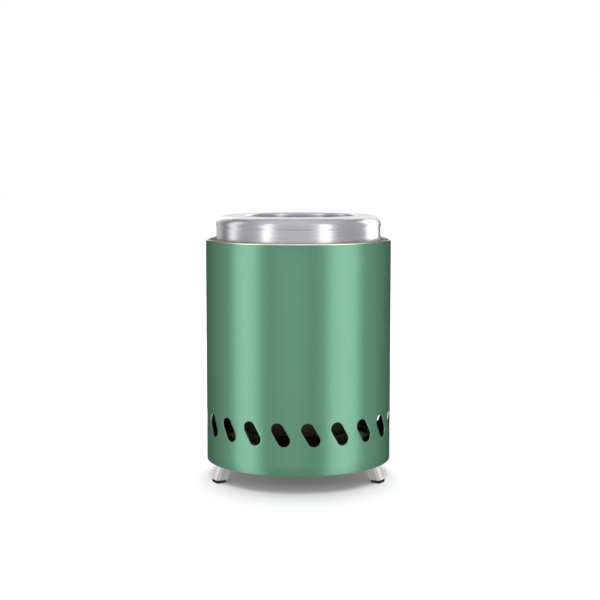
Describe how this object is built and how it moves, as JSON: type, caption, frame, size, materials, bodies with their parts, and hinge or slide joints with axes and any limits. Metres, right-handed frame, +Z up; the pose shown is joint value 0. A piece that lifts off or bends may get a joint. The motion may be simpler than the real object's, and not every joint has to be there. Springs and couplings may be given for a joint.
{
  "type": "tabletop smokeless stove",
  "caption": "Round double-wall tabletop stove with slanted air vents, a lift-off flame ring, a fuel basket and an ash pan, on a splayed tripod stand.",
  "frame": {"origin": "on the ground under the stove's axis, at the level of the feet's rest faces", "axes": "+Z up along the stove's axis; -Y is the front, between the left and right legs; +X is to the right seen from the front; one leg points to +Y"},
  "size_m": [0.1308, 0.1326, 0.1837],
  "materials": {
    "coated_shell": "satin pearl green heat-resistant coating on rolled steel",
    "brushed_stainless": "brushed stainless steel sheet",
    "satin_stainless": "satin stainless steel, pressed",
    "inner_stainless": "mill-finish stainless steel, heat tinted",
    "perforated_stainless": "punched stainless steel, heat tinted",
    "steel_wire": "bright drawn stainless wire",
    "rivet_steel": "bright stainless rivets",
    "silicone_foot": "matte black moulded silicone"
  },
  "bodies": {
    "stand": {"stand_ring": "satin_stainless", "leg_left": "satin_stainless", "leg_right": "satin_stainless", "leg_rear": "satin_stainless", "foot_left": "silicone_foot", "foot_right": "silicone_foot", "foot_rear": "silicone_foot", "leg_rivets": "rivet_steel"},
    "stove_body": {"outer_shell": "coated_shell", "top_deck": "satin_stainless", "base_plate": "inner_stainless", "heat_shield": "inner_stainless", "inner_wall": "inner_stainless", "chamber_floor": "inner_stainless"},
    "ring": {"flame_ring": "brushed_stainless", "ring_collar": "inner_stainless"},
    "pan": {"ash_pan": "inner_stainless", "pan_clip": "satin_stainless"},
    "pan_loop": {"pan_ring": "steel_wire"},
    "basket": {"basket_wall": "perforated_stainless", "basket_grate": "perforated_stainless", "basket_rim": "steel_wire", "ear_left": "satin_stainless", "ear_right": "satin_stainless", "ear_rivets": "rivet_steel"},
    "bail": {"basket_bail": "steel_wire"}
  },
  "joints": [
    {"name": "stove_lift", "type": "slide", "parent": "stand", "child": "stove_body", "axis": [0, 0, 1], "range_m": [0, 0.08]},
    {"name": "ring_lift", "type": "slide", "parent": "stove_body", "child": "ring", "axis": [0, 0, 1], "range_m": [0, 0.08]},
    {"name": "pan_lift", "type": "slide", "parent": "stove_body", "child": "pan", "axis": [0, 0, 1], "range_m": [0, 0.17]},
    {"name": "pan_ring_fold", "type": "hinge", "parent": "pan", "child": "pan_loop", "pos_m": [0, 0, 0.0344], "axis": [1, 0, 0], "range_deg": [0, 180]},
    {"name": "basket_lift", "type": "slide", "parent": "pan", "child": "basket", "axis": [0, 0, 1], "range_m": [0, 0.15]},
    {"name": "bail_swing", "type": "hinge", "parent": "basket", "child": "bail", "pos_m": [0, 0, 0.1038], "axis": [1, 0, 0], "range_deg": [0, 180]}
  ]
}
